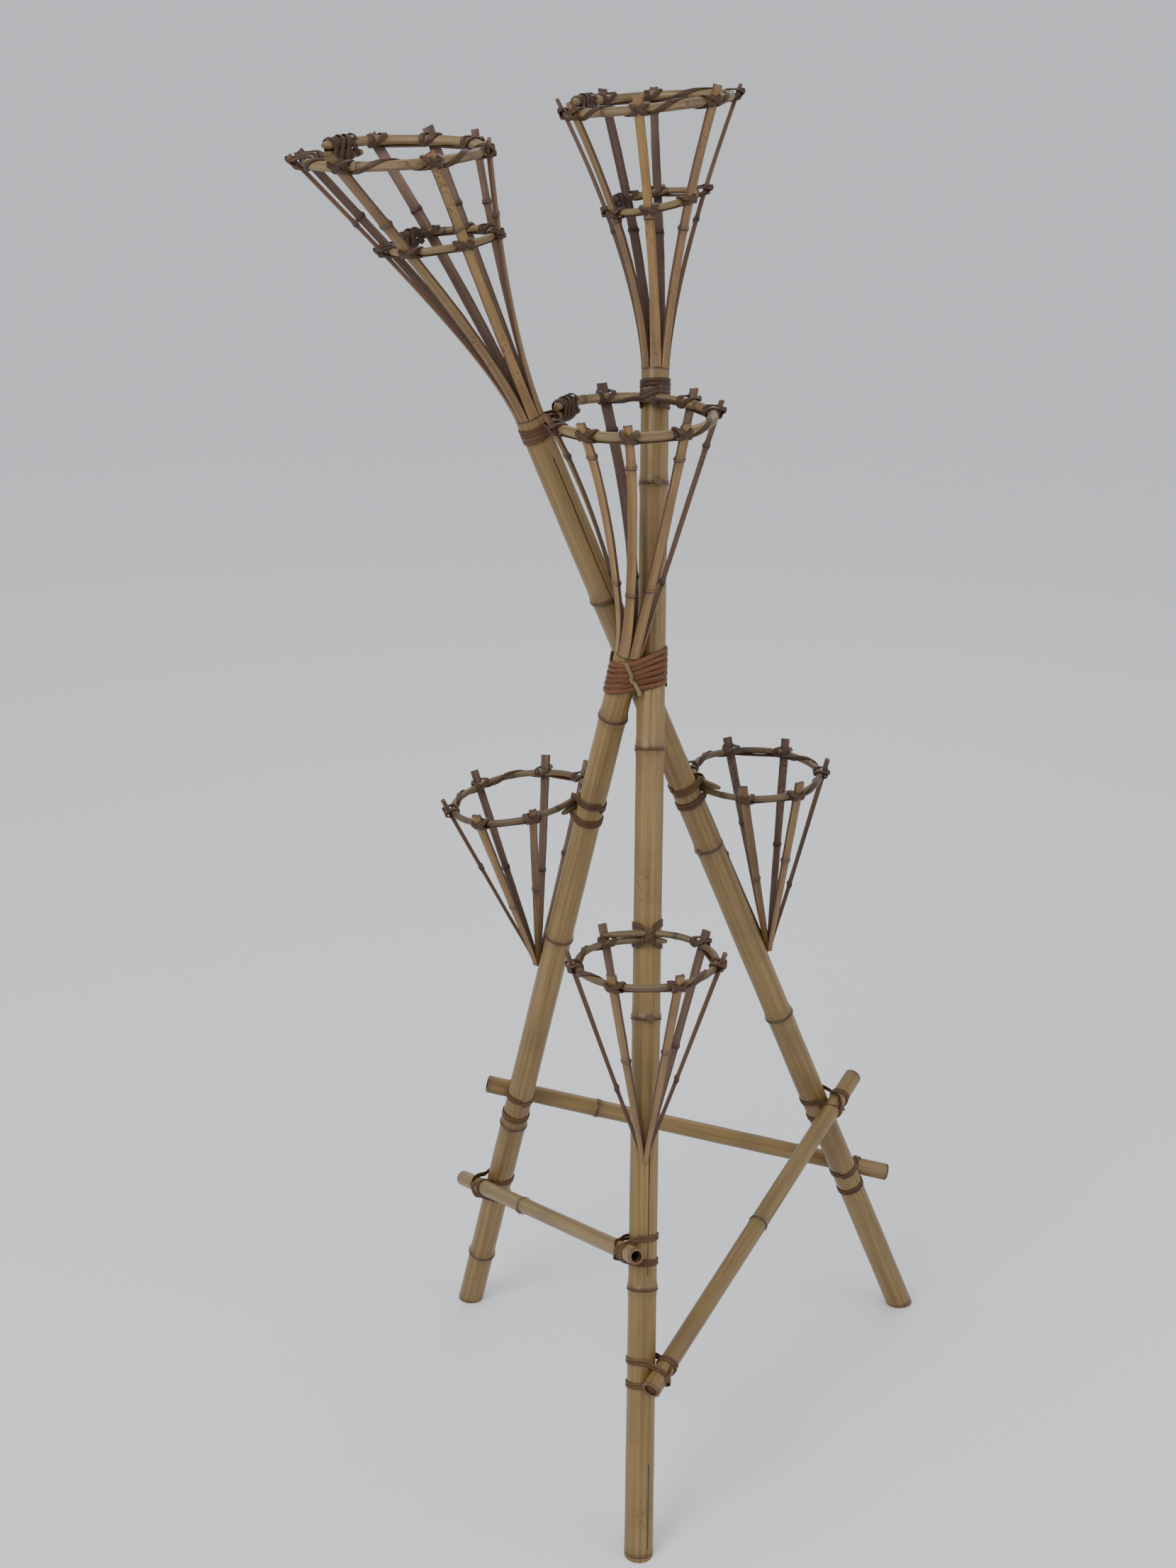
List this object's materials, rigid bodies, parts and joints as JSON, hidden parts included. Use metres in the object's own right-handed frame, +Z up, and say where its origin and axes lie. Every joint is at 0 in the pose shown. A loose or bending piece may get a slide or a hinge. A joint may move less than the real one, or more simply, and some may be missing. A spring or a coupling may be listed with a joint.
{
  "type": "bamboo tripod plant stand",
  "caption": "Tripod plant stand of crossed bamboo culms; split culm tops spread into hooped baskets, with cone baskets on the legs, braces and cane lashings.",
  "frame": {"origin": "centre of the ground under the object's box", "axes": "+Z up; -Y is the side seen in front"},
  "size_m": [0.7506, 0.6922, 1.5709],
  "materials": {
    "bamboo": "satin, natural whole culm",
    "split_bamboo": "satin outside, dull inside, split culm",
    "hoop_cane": "dull, round cane",
    "binding_cane": "satin, dark flat cane",
    "lashing_cane": "glossy, red-brown flat cane"
  },
  "bodies": {
    "root": {"culm_front": "bamboo", "crown_front_rim_hoop": "hoop_cane", "crown_front_rim_binding": "binding_cane", "crown_front_waist_hoop": "hoop_cane", "crown_front_waist_binding": "binding_cane", "basket_front_hoop": "hoop_cane", "basket_front_binding": "binding_cane", "basket_front_slat_1": "split_bamboo", "basket_front_slat_2": "split_bamboo", "basket_front_slat_3": "split_bamboo", "basket_front_slat_4": "split_bamboo", "basket_front_slat_5": "split_bamboo", "basket_front_slat_6": "split_bamboo", "basket_front_tie": "lashing_cane", "culm_left": "bamboo", "crown_left_rim_hoop": "hoop_cane", "crown_left_rim_binding": "binding_cane", "basket_left_hoop": "hoop_cane", "basket_left_binding": "binding_cane", "basket_left_slat_1": "split_bamboo", "basket_left_slat_2": "split_bamboo", "basket_left_slat_3": "split_bamboo", "basket_left_slat_4": "split_bamboo", "basket_left_slat_5": "split_bamboo", "basket_left_slat_6": "split_bamboo", "basket_left_tie": "lashing_cane", "culm_right": "bamboo", "crown_right_rim_hoop": "hoop_cane", "crown_right_rim_binding": "binding_cane", "crown_right_waist_hoop": "hoop_cane", "crown_right_waist_binding": "binding_cane", "basket_right_hoop": "hoop_cane", "basket_right_binding": "binding_cane", "basket_right_slat_1": "split_bamboo", "basket_right_slat_2": "split_bamboo", "basket_right_slat_3": "split_bamboo", "basket_right_slat_4": "split_bamboo", "basket_right_slat_5": "split_bamboo", "basket_right_slat_6": "split_bamboo", "basket_right_tie": "lashing_cane", "brace_back": "bamboo", "brace_back_lashing_left": "lashing_cane", "brace_back_lashing_right": "lashing_cane", "brace_left": "bamboo", "brace_left_lashing_left": "lashing_cane", "brace_left_lashing_front": "lashing_cane", "brace_right": "bamboo", "brace_right_lashing_front": "lashing_cane", "brace_right_lashing_right": "lashing_cane", "main_lashing": "lashing_cane", "main_lashing_strap": "lashing_cane", "crown_front_collar": "lashing_cane", "crown_right_collar": "lashing_cane"}
  },
  "joints": []
}
